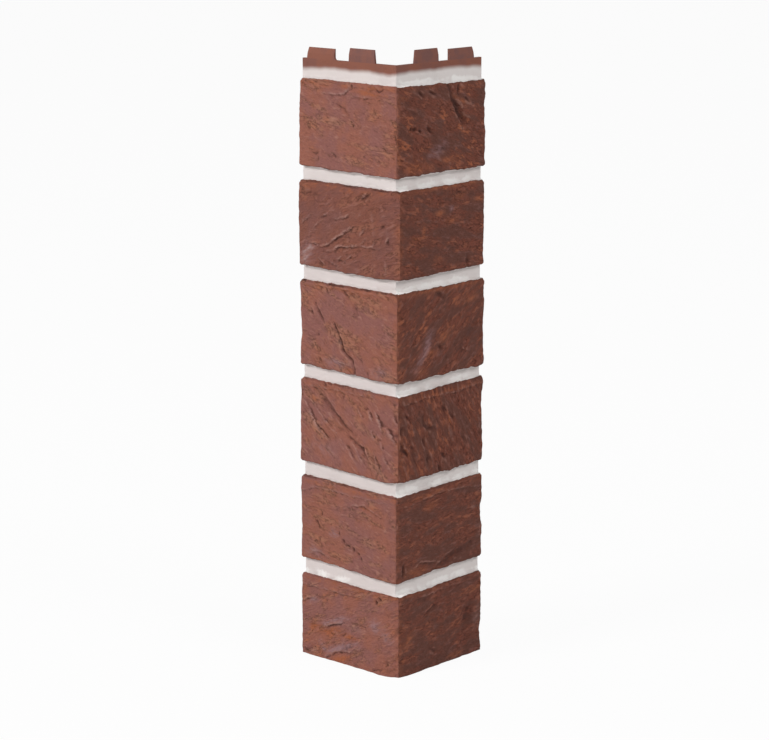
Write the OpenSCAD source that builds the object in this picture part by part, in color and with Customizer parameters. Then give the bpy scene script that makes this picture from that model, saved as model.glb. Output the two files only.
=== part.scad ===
// Outside-corner cladding panel with brick slips, moulded in one piece.
// Origin: bottom of the vertical line where the two back planes meet, which is the building's corner.
// One leg runs along +X with its face towards -Y, the other along +Y with its face towards -X.

/* [Brick courses] */
// Number of brick courses
course_count = 6; // [1:1:8]
// Height of one brick face
brick_height = 59.6; // [45:0.1:65]
// Height of the mortar joint above each brick
joint_height = 10.4; // [6:0.1:16]
// How far the bricks stand out of the mortar bed on the +X leg
right_relief = 3.8; // [3:0.1:5]
// How far the bricks stand out of the mortar bed on the +Y leg
left_relief = 4.5; // [3:0.1:5]
// What each course on the +X leg adds to that, bottom course first
right_offsets = [-0.1, -0.2, -0.4, 0.8, -0.2, 0.3]; // [-1:0.1:1]
// What each course on the +Y leg adds to that, bottom course first
left_offsets = [-0.2, -0.1, 0.1, 0, 0.5, -0.3]; // [-1:0.1:1]
// Rounding of the long brick edges
edge_round = 1.3; // [0.4:0.1:2]
// Rounding of the outside corner and of the leg ends
arris_round = 1.8; // [0.5:0.1:3]
// Cove of mortar on top of each brick
top_cove = 2.2; // [0.5:0.1:3]
// Cove of mortar under each brick
under_cove = 1.2; // [0.3:0.1:2]

/* [Legs and walls] */
// Length of each leg from the building's corner
leg_length = 84.2; // [80:0.1:120]
// Wall thickness of the moulding
wall = 2.5; // [2:0.1:3.5]
// Fillet in the inside corner
inside_fillet = 1; // [0.3:0.1:2]
// Chamfer inside the hollow, along the top of each brick
hollow_chamfer = 1; // [0.3:0.1:1.5]
// Number of stiffening ribs behind each brick face
rib_count = 3; // [0:1:5]
// Thickness of a stiffening rib
rib_wall = 1.6; // [1:0.1:2.5]

/* [Top flange and locking tabs] */
// Height of the bare flange above the top mortar joint
flange_height = 3.5; // [2:0.1:12]
// Thickness of a tab, which stands flush with the front of the flange
tab_wall = 1.6; // [1.2:0.1:2.4]
// Start of the inner tab on the +X leg from the building's corner
right_inner_start = 15.8; // [8:0.1:20]
// Start of the inner tab on the +Y leg from the building's corner
left_inner_start = 16.7; // [8:0.1:20]
// Root width of an inner tab
inner_tab_width = 24.1; // [12:0.1:30]
// Height of an inner tab
inner_tab_height = 9; // [5:0.1:14]
// Slope of an inner tab's side towards the corner, from root to tip
inner_near_taper = 1.1; // [0:0.1:3]
// Slope of an inner tab's other side
inner_far_taper = 0.5; // [0:0.1:3]
// Root width of an outer tab
outer_tab_width = 25.7; // [10:0.1:32]
// Height of an outer tab
outer_tab_height = 7.6; // [5:0.1:14]
// Slope of an outer tab's outer side from root to tip
outer_tab_taper = 1.3; // [0:0.1:4]
// Bare flange between the outer tab and the end of the +X leg
right_tab_margin = 7.9; // [3:0.1:14]
// Bare flange between the outer tab and the end of the +Y leg
left_tab_margin = 4.4; // [3:0.1:14]
// Root fillet of the outer tab on the +Y leg
notch_fillet = 2; // [0.5:0.1:3]
// Thickness left at a tab's bevelled tip
tab_tip = 0.7; // [0.5:0.1:1.1]

/* [Bottom lap] */
// Free space round the tabs and flange of the next corner below
lap_clearance = 0.4; // [0.2:0.1:1]

/* [Hidden] */
pitch = brick_height + joint_height;
flange_foot = course_count * pitch;
flange_top = flange_foot + flange_height;
bed = -wall;
tab_back = bed + tab_wall;
lap_height = flange_height + max(inner_tab_height, outer_tab_height) + lap_clearance;
rib_pitch = (leg_length - wall) / (rib_count + 1);
courses = [0:course_count - 1];
beyond = 20;
arc_steps = 5;

// How far one course stands out of the mortar bed on either leg
function right_of(course) = right_relief + right_offsets[course % len(right_offsets)];
function left_of(course) = left_relief + left_offsets[course % len(left_offsets)];

// Points of a round stretch about [x, y], from one angle to another
function arc(x, y, radius, from, to) =
    [for (k = [0:arc_steps]) let (a = from + (to - from) * k / arc_steps) [x + radius * cos(a), y + radius * sin(a)]];

// Square lower edge of the bottom course, which is the panel's own edge
function square_foot(face, foot) = [[face, foot]];

// Lower edge of any other course: a small cove of mortar, then the rounded brick edge
function coved_foot(face, foot, cove) =
    concat(arc(bed - cove, foot - cove, cove, 0, 90),
           arc(face + edge_round, foot + edge_round, edge_round, 270, 180));

// Outline of one brick in a face section. Depth grows inwards, so the brick's face has the least.
function brick_points(course, relief) =
    let (foot = course * pitch, head = foot + brick_height, face = bed - relief,
         spare = relief - edge_round, upper = min(top_cove, spare), lower = min(under_cove, spare))
    concat(course == 0 ? square_foot(face, foot) : coved_foot(face, foot, lower),
           arc(face + edge_round, head - edge_round, edge_round, 180, 90),
           arc(bed - upper, head + upper, upper, 270, 360));

// Face section of one leg, with all courses, the joints between them and the flange
module face_section(reliefs) {
    bricks = [for (c = courses) each brick_points(c, reliefs[c])];
    polygon(concat([[leg_length, 0]], bricks, [[bed, flange_top], [leg_length, flange_top]]));
}

// Section of the hollow behind one brick. The bottom course is open below, for the next corner's flange.
module hollow_section(course, relief) {
    foot = course * pitch;
    front = bed - relief + wall;
    low = course == 0 ? -beyond : foot + wall;
    high = foot + brick_height - wall;
    polygon([[leg_length, low], [front, low], [front, high - hollow_chamfer],
             [front + hollow_chamfer, high], [leg_length, high]]);
}

// Sweeps a section along the +X leg, up to the given end
module along_x(end) {
    translate([-beyond, 0, 0]) rotate([90, 0, 90]) linear_extrude(end + beyond) children();
}

// Sweeps a section along the +Y leg, up to the given end
module along_y(end) {
    translate([0, end, 0]) rotate([90, 0, 0]) linear_extrude(end + beyond) children();
}

// Two crossed face sections meet in a true mitre at the outside corner
module outer_skin() {
    intersection() {
        along_x(leg_length) face_section([for (c = courses) right_of(c)]);
        along_y(leg_length) face_section([for (c = courses) left_of(c)]);
    }
}

// Everything behind the back planes, where the building's corner goes
module building_corner() {
    far = leg_length + beyond;
    translate([0, 0, -beyond]) linear_extrude(flange_top + 2 * beyond)
        polygon(concat([[far, 0]], arc(inside_fillet, inside_fillet, inside_fillet, 270, 180), [[0, far], [far, far]]));
}

// Ribs that stiffen both legs behind one course, flush with the back planes
module ribs(foot) {
    for (k = [1:1:rib_count]) {
        place = k * rib_pitch - rib_wall / 2;
        translate([place, -beyond, foot]) cube([rib_wall, beyond, pitch]);
        translate([-beyond, place, foot]) cube([beyond, rib_wall, pitch]);
    }
}

// The hollow that runs behind one course, round the corner, less its ribs
module hollow(course) {
    difference() {
        intersection() {
            along_x(leg_length - wall) hollow_section(course, right_of(course));
            along_y(leg_length - wall) hollow_section(course, left_of(course));
        }
        ribs(course == 0 ? lap_height : course * pitch);
    }
}

// What a rounded vertical edge loses, for an edge at the origin with material towards +X and +Y
module edge_waste(height) {
    linear_extrude(height)
        polygon(concat([[-1, -1], [arris_round, -1]],
                       arc(arris_round, arris_round, arris_round, 270, 180),
                       [[-1, arris_round]]));
}

// Waste of the three vertical edges of one course: the outside corner and both leg ends
module edge_wastes(course) {
    below = course == 0 ? 1 : 0;
    translate([0, 0, course * pitch - below]) {
        translate([bed - left_of(course), bed - right_of(course), 0]) edge_waste(brick_height + below);
        translate([leg_length, bed - right_of(course), 0]) rotate(90) edge_waste(brick_height + below);
        translate([bed - left_of(course), leg_length, 0]) rotate(-90) edge_waste(brick_height + below);
    }
}

// Room for the flange and tabs of the corner below, right through both leg ends
module bottom_lap() {
    front = bed - lap_clearance;
    reach = leg_length + 2 * beyond;
    translate([front, front, -beyond]) cube([reach, reach, lap_height + beyond]);
}

// Side view of a tab: from half height up its front is bevelled, so that it leads in
module tab_side(height) {
    polygon([[tab_back, -1], [tab_back, height], [tab_back - tab_tip, height], [bed, height / 2], [bed, -1]]);
}

// Front view of a tab, whose sides lean in from root to tip
module tab_front(width, height, near_taper, far_taper) {
    polygon([[0, -1], [0, 0], [near_taper, height], [width - far_taper, height], [width, 0], [width, -1]]);
}

// One tab standing on the flange of the +X leg
module tab(start, width, height, near_taper, far_taper) {
    translate([start, 0, flange_top])
        intersection() {
            rotate([90, 0, 90]) linear_extrude(width) tab_side(height);
            rotate([90, 0, 0]) linear_extrude(wall) tab_front(width, height, near_taper, far_taper);
        }
}

// The inner and the outer tab of a leg that runs along +X
module leg_tabs(inner_start, margin) {
    tab(inner_start, inner_tab_width, inner_tab_height, inner_near_taper, inner_far_taper);
    tab(leg_length - margin - outer_tab_width, outer_tab_width, outer_tab_height, 0, outer_tab_taper);
}

// Curved root on the notch side of an outer tab
module notch_root(margin) {
    translate([leg_length - margin - outer_tab_width, tab_back, flange_top])
        rotate([90, 0, 0]) linear_extrude(tab_wall)
            polygon(concat([[-notch_fillet, -1], [1, -1], [1, notch_fillet]],
                           arc(-notch_fillet, notch_fillet, notch_fillet, 0, -90)));
}

module tabs() {
    leg_tabs(right_inner_start, right_tab_margin);
    mirror([1, -1, 0]) {
        leg_tabs(left_inner_start, left_tab_margin);
        notch_root(left_tab_margin);
    }
}

module corner_panel() {
    color("#8a5348") {
        difference() {
            outer_skin();
            building_corner();
            bottom_lap();
            for (c = courses) {
                hollow(c);
                edge_wastes(c);
            }
        }
        tabs();
    }
}

corner_panel();
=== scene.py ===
import math

import bmesh
import bpy
import numpy as np
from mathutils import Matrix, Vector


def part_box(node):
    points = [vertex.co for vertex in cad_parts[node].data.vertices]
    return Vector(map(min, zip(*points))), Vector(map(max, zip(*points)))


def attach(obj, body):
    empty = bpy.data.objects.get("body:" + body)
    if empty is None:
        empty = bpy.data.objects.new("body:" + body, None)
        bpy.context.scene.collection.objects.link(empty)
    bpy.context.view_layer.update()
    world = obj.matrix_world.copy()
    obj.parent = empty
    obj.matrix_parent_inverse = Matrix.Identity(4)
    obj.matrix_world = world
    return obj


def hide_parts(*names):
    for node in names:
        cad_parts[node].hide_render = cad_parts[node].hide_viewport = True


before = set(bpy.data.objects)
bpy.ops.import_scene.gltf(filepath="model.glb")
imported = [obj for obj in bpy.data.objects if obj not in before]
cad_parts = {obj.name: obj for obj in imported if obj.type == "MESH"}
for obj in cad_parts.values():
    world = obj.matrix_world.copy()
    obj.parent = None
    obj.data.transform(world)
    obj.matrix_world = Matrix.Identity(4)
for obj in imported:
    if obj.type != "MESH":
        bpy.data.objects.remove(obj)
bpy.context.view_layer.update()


# Brick courses: the front of a plastic moulding that was cast against real clay bricks, so six
# rough courses wrap the corner. It is laid out as one sheet of points: each row runs round the
# corner from one leg's end to the other's, and the rows follow the section from course to course.
# Sizes are in millimetres, and MM turns them into metres where the mesh is made.
MM = 0.001
panel_low, panel_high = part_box("corner_panel")
LEG = round(panel_high.x / MM, 2)
FRONT_X = round(panel_low.x / MM, 2)
FRONT_Y = round(panel_low.y / MM, 2)
WALL = 2.5
COURSES = 6
BRICK = 59.6
PITCH = 70.0
FLANGE_HEIGHT = 3.5
FLANGE_TOP = COURSES * PITCH + FLANGE_HEIGHT
MEAN_RELIEF = 4.2
# Roundings of a brick's upper and lower edges and of its end, and coves of mortar above and below it
HEAD_ROUND = 1.3
FOOT_ROUND = 0.7
END_ROUND = 1.0
TOP_COVE = 2.6
UNDER_COVE = 1.2
# How far a brick's upper and lower edges run in where they round off towards the leg's end
HEAD_DROP = 1.5
FOOT_DROP = 0.5
# Rounding of the joints' and the flange's corners
BED_ROUND = 0.35
# How far the outside corner lies in front of the building's corner, and how far from it the left
# faces start to bend
OUTER_CORNER = 6.5
BEND_START = 15.0
# Room behind the lowest course for the flange and tabs of the corner below
LAP_HEIGHT = 12.9
LAP_FRONT = 2.9
# Spacing of the sheet's points on the faces and in the joints
POINT_STEP = 0.72
JOINT_STEP = 0.8
LEFT, RIGHT = 0, 1

# Every list of six goes from the bottom course to the top one, and of two from left leg to right.
# Rounding of the outside corner of each course
ARRIS_ROUND = [2.0, 1.2, 1.8, 1.4, 1.0, 1.4]
# Relief of each course: at the leg's end, then beside the outside corner
RELIEF = [[(4.2, 4.1), (4.3, 4.2), (4.5, 4.4), (4.2, 4.4), (4.7, 4.5), (3.9, 4.2)],
          [(3.5, 4.1), (3.5, 3.8), (3.4, 4.0), (4.2, 4.2), (3.6, 4.5), (3.9, 4.0)]]
# How far the left face bends back beside the outside corner, which moves that edge to the right
CORNER_BEND = [4.2, 0.8, 4.0, 1.6, 4.4, 1.0]
# Lift of each course's upper and lower edge: left end, outside corner, right end
UPPER_LIFT = [(-0.2, -1.4, 0.2), (1.8, 0.0, 1.6), (2.0, 0.2, 1.8),
              (1.2, 0.9, 1.3), (0.9, 0.4, 0.3), (0.6, 0.1, -1.0)]
LOWER_LIFT = [(0, 0, 0), (1.3, -1.7, 0.3), (1.9, -1.3, 0.4),
              (1.0, -1.3, -1.1), (0.9, -0.5, 0.4), (0.3, -1.4, -0.7)]
# Waves in the bricks' edges: how strong, how long, and the seed of the random field
EDGE_WAVES = [(0.40, 13, 5), (0.24, 4.2, 6), (0.14, 1.6, 7)]


def smoothstep(low, high, value):
    t = np.clip((value - low) / (high - low), 0, 1)
    return t * t * (3 - 2 * t)


def clay_noise(points, size, seed):
    """Smooth random field from about -1 to 1, with lumps `size` millimetres across."""
    rng = np.random.default_rng(seed)
    table = rng.normal(size=(4096, 3))
    table /= np.linalg.norm(table, axis=1, keepdims=True)
    place = points / size + rng.uniform(0, 50, 3)
    cell = np.floor(place).astype(np.int64)
    part = place - cell
    fade = part ** 3 * (part * (part * 6 - 15) + 10)
    total = np.zeros(points.shape[:-1])
    for corner in np.ndindex(2, 2, 2):
        at = cell + corner
        key = (at[..., 0] * 73856093) ^ (at[..., 1] * 19349663) ^ (at[..., 2] * 83492791)
        pull = (table[key & 4095] * (part - corner)).sum(-1)
        share = np.where(np.array(corner) == 1, fade, 1 - fade).prod(-1)
        total += pull * share
    return total * 1.6


def lumps(points, layers):
    """Sum of random fields, each given as its strength, its lumps' size and its seed."""
    return sum(strength * clay_noise(points, size, seed) for strength, size, seed in layers)


def relief_at(side, course, along):
    """Relief of a course at places along a leg, from the building's corner outwards."""
    end, corner = RELIEF[side][course]
    share = np.clip((along + OUTER_CORNER) / (LEG + OUTER_CORNER), 0, 1)
    relief = corner + (end - corner) * share
    if side == LEFT:
        near_corner = np.clip(1 - (along + OUTER_CORNER) / BEND_START, 0, 1)
        relief = relief - CORNER_BEND[course] * near_corner ** 2
    return relief


def section_rows():
    """Rows of the face section: course, share of the relief, height, and the stretch it belongs to."""
    rows = []
    face = MEAN_RELIEF
    for course in range(COURSES):
        foot = course * PITCH
        head = foot + BRICK
        low = foot
        if course:
            low = foot + FOOT_ROUND
            for angle in np.radians([0, 25, 50, 72, 90]):
                sink = UNDER_COVE * (1 - math.sin(angle))
                rows.append((course, UNDER_COVE * (1 - math.cos(angle)), foot - sink, "under"))
            rows.append((course, (UNDER_COVE + face - FOOT_ROUND) / 2, foot, "under"))
            for angle in np.radians([270, 240, 210]):
                out = face - FOOT_ROUND * (1 + math.cos(angle))
                rows.append((course, out, foot + FOOT_ROUND * (1 + math.sin(angle)), "under"))
        high = head - HEAD_ROUND
        for height in np.linspace(low, high, round((high - low) / POINT_STEP) + 1):
            rows.append((course, face, height, "face"))
        for angle in np.radians([158, 135, 112, 90]):
            out = face - HEAD_ROUND * (1 + math.cos(angle))
            rows.append((course, out, head - HEAD_ROUND * (1 - math.sin(angle)), "head"))
        rows.append((course, (TOP_COVE + face - HEAD_ROUND) / 2, head, "head"))
        for angle in np.radians([270, 288, 306, 324, 342, 360]):
            rise = TOP_COVE * (1 + math.sin(angle))
            rows.append((course, TOP_COVE * (1 - math.cos(angle)), head + rise, "cove"))
        low = head + TOP_COVE
        top = FLANGE_TOP if course == COURSES - 1 else foot + PITCH - UNDER_COVE
        steps = np.linspace(low, top, round((top - low) / JOINT_STEP) + 1)[1:]
        for height in steps if course == COURSES - 1 else steps[:-1]:
            rows.append((course, 0.0, height, "joint"))
    return rows


rows = section_rows()
row_course = np.array([r[0] for r in rows])
row_proud = np.array([r[1] for r in rows]) / MEAN_RELIEF
row_height = np.array([r[2] for r in rows])
row_stretch = [r[3] for r in rows]
ROWS = len(rows)
LAP_ROW = int(np.argmin(np.abs(row_height - LAP_HEIGHT)))
FACE_COLUMNS = round((LEG + OUTER_CORNER) / POINT_STEP)
RETURN_COLUMNS = 4
ROUND_COLUMNS = 4
ARRIS_COLUMNS = 5


def edge_line(start, end, along, seed, side):
    """Wavy lift of a brick's edge: `along` is 0 at the leg's end and 1 at the outside corner."""
    place = np.stack([along * 90, np.full_like(along, seed * 7.7), np.full_like(along, side * 3.3)], -1)
    return start + (end - start) * along + lumps(place, EDGE_WAVES)


def corner_drop(distance, radius):
    """How far a brick's outline falls away where it rounds off towards its end."""
    t = np.clip(1 - distance / radius, 0, 1)
    return radius * (1 - np.sqrt(1 - t * t))


def leg_heights(side):
    """Height of every row at each face column of one leg, from the leg's end to the corner."""
    along = np.linspace(0, 1, FACE_COLUMNS)
    from_end = along * (LEG + OUTER_CORNER)
    end = 0 if side == LEFT else 2
    upper, lower, cove = [], [], []
    for course in range(COURSES):
        up = edge_line(UPPER_LIFT[course][end], UPPER_LIFT[course][1], along, course + 1, side)
        upper.append(up - corner_drop(from_end, HEAD_DROP))
        down = edge_line(LOWER_LIFT[course][end], LOWER_LIFT[course][1], along, course + 11, side)
        lower.append(down + corner_drop(from_end, FOOT_DROP) if course else 0 * along)
        cove.append(np.clip(1 + 1.3 * edge_line(0, 0, along, course + 31, side), 0.35, 1.7))
    lower.append(0 * along)
    heights = np.zeros((ROWS, FACE_COLUMNS))
    for k, stretch in enumerate(row_stretch):
        course = row_course[k]
        rise = row_height[k] - course * PITCH
        if stretch == "under":
            lift = lower[course]
        elif stretch == "face":
            lift = lower[course] + (upper[course] - lower[course]) * rise / BRICK
        elif stretch == "head":
            lift = upper[course]
        elif stretch == "cove":
            lift = upper[course] + (cove[course] - 1) * (rise - BRICK)
        else:
            top = FLANGE_TOP - course * PITCH if course == COURSES - 1 else PITCH - UNDER_COVE
            base = upper[course] + (cove[course] - 1) * TOP_COVE
            share = (rise - BRICK - TOP_COVE) / (top - BRICK - TOP_COVE)
            lift = base + (lower[course + 1] - base) * share
        heights[k] = row_height[k] + lift
    return heights


# Where a brick's outline runs in at a leg's end: side, course, height, how far, half its length
END_CUTS = [(LEFT, 5, 58, 0.9, 12), (LEFT, 3, 26, 1.5, 12), (LEFT, 3, 48, 0.7, 5), (LEFT, 2, 50, 0.6, 6),
            (LEFT, 1, 24, 0.6, 8), (RIGHT, 5, 40, 0.7, 8), (RIGHT, 4, 12, 0.7, 6), (RIGHT, 3, 30, 1.0, 9),
            (RIGHT, 2, 40, 0.8, 8), (RIGHT, 1, 33, 1.6, 7), (RIGHT, 0, 15, 1.9, 6), (RIGHT, 0, 42, 0.7, 6)]
# A cut leaves the wall's back as it is and grows over these depths, and over this much of the leg
CUT_DEPTHS = (2.0, 4.0)
CUT_REACH = 7.0


def end_cut(side, row):
    """How far the brick's outline runs in at the leg's end, at one row."""
    rise = row_height[row] - row_course[row] * PITCH
    cuts = [deep * math.exp(-((rise - middle) / half) ** 2)
            for on, course, middle, deep, half in END_CUTS if on == side and course == row_course[row]]
    return sum(cuts)


# Top flange: a bare strip of the same moulding above the last joint, which carries four locking
# tabs. These are the tabs' places along each leg, from the building's corner. The columns of the
# sheet are drawn to their roots over the last millimetres below the flange's top.
TAB_WALL = 1.6
TAB_BACK = WALL - TAB_WALL
TAB_TIP = 0.7
TIP_BREAK = 0.2
ROOT_FILLET = 2.0
INNER_TAB = [(16.7, 40.8), (15.8, 39.9)]
INNER_TAPER = (1.1, 0.5)
INNER_HEIGHT = 9.0
OUTER_TAB = [(54.1, 79.8), (50.6, 76.3)]
OUTER_ROOT = [(OUTER_TAB[LEFT][0] - ROOT_FILLET, OUTER_TAB[LEFT][1]), OUTER_TAB[RIGHT]]
OUTER_TAPER = 1.3
OUTER_HEIGHT = 7.6
DRAWN_BELOW = 9.0


def root_columns(side):
    """Face columns that meet the roots of a leg's two tabs, from the leg's end to the corner."""
    roots = [OUTER_ROOT[side][1], OUTER_ROOT[side][0], INNER_TAB[side][1], INNER_TAB[side][0]]
    return [round((LEG - root) / (LEG + WALL) * (FACE_COLUMNS - 1)) for root in roots], roots


def face_places(side, row, start, stop):
    """Places of one row's face columns along its leg, drawn to the tabs' roots near the top."""
    places = np.linspace(start, stop, FACE_COLUMNS)
    pull = smoothstep(FLANGE_TOP - DRAWN_BELOW, FLANGE_TOP, row_height[row])
    if pull > 0:
        columns, roots = root_columns(side)
        knots = [0] + columns + [FACE_COLUMNS - 1]
        drawn = np.interp(np.arange(FACE_COLUMNS), knots, [start] + roots + [stop])
        places = places + pull * (drawn - places)
    return places


# The front's sheet of points, row by row round the corner
heights = [leg_heights(LEFT), leg_heights(RIGHT)]


def leg_row(side, row, corner_depth):
    """One row of one leg as (depth, place, height), from the back plane at its end to its corner."""
    proud = min(row_proud[row] * 1.5, 1)
    end_round = BED_ROUND + (END_ROUND - BED_ROUND) * proud
    arris_round = BED_ROUND + (ARRIS_ROUND[row_course[row]] - BED_ROUND) * proud
    places = face_places(side, row, LEG - end_round, arris_round - corner_depth)
    depths = WALL + relief_at(side, row_course[row], places) * row_proud[row]
    z = heights[side][row]
    flat = depths[0] - end_round
    second = LAP_FRONT if row <= LAP_ROW else min(LAP_FRONT, 0.5 * flat)
    points = [(0, LEG, z[0])] + [(d, LEG, z[0]) for d in np.linspace(second, flat, RETURN_COLUMNS)[:-1]]
    for angle in np.linspace(0, math.pi / 2, ROUND_COLUMNS + 1)[:-1]:
        points.append((flat + end_round * math.sin(angle), LEG - end_round * (1 - math.cos(angle)), z[0]))
    points += [(depths[j], places[j], z[j]) for j in range(FACE_COLUMNS)]
    cut = end_cut(side, row)
    start, stop = CUT_DEPTHS
    return [(d, p - cut * smoothstep(start, stop, d) * smoothstep(LEG - CUT_REACH, LEG - 1, p), h)
            for d, p, h in points]


def sheet_row(row):
    """All points of one row, from the left leg's back plane round the corner to the right leg's."""
    beside = -OUTER_CORNER + 1
    corner = [WALL + relief_at(side, row_course[row], beside) * row_proud[row] for side in (LEFT, RIGHT)]
    left = leg_row(LEFT, row, corner[RIGHT])
    right = leg_row(RIGHT, row, corner[LEFT])
    points = [(-depth, place, z) for depth, place, z in left]
    x0, y0 = -left[-1][0], -right[-1][0]
    for k in range(1, ARRIS_COLUMNS + 1):
        share = k / (ARRIS_COLUMNS + 1)
        angle = math.pi / 2 * share
        x = x0 + (right[-1][1] - x0) * (1 - math.cos(angle))
        y = y0 + (left[-1][1] - y0) * (1 - math.sin(angle))
        points.append((x, y, left[-1][2] * (1 - share) + right[-1][2] * share))
    return points + [(place, -depth, z) for depth, place, z in reversed(right)]


sheet = np.array([sheet_row(row) for row in range(ROWS)])
COLUMNS = sheet.shape[1]
FACE_START = RETURN_COLUMNS + ROUND_COLUMNS
for column in (0, 1, -1, -2):
    sheet[LAP_ROW, column, 2] = LAP_HEIGHT


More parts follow.
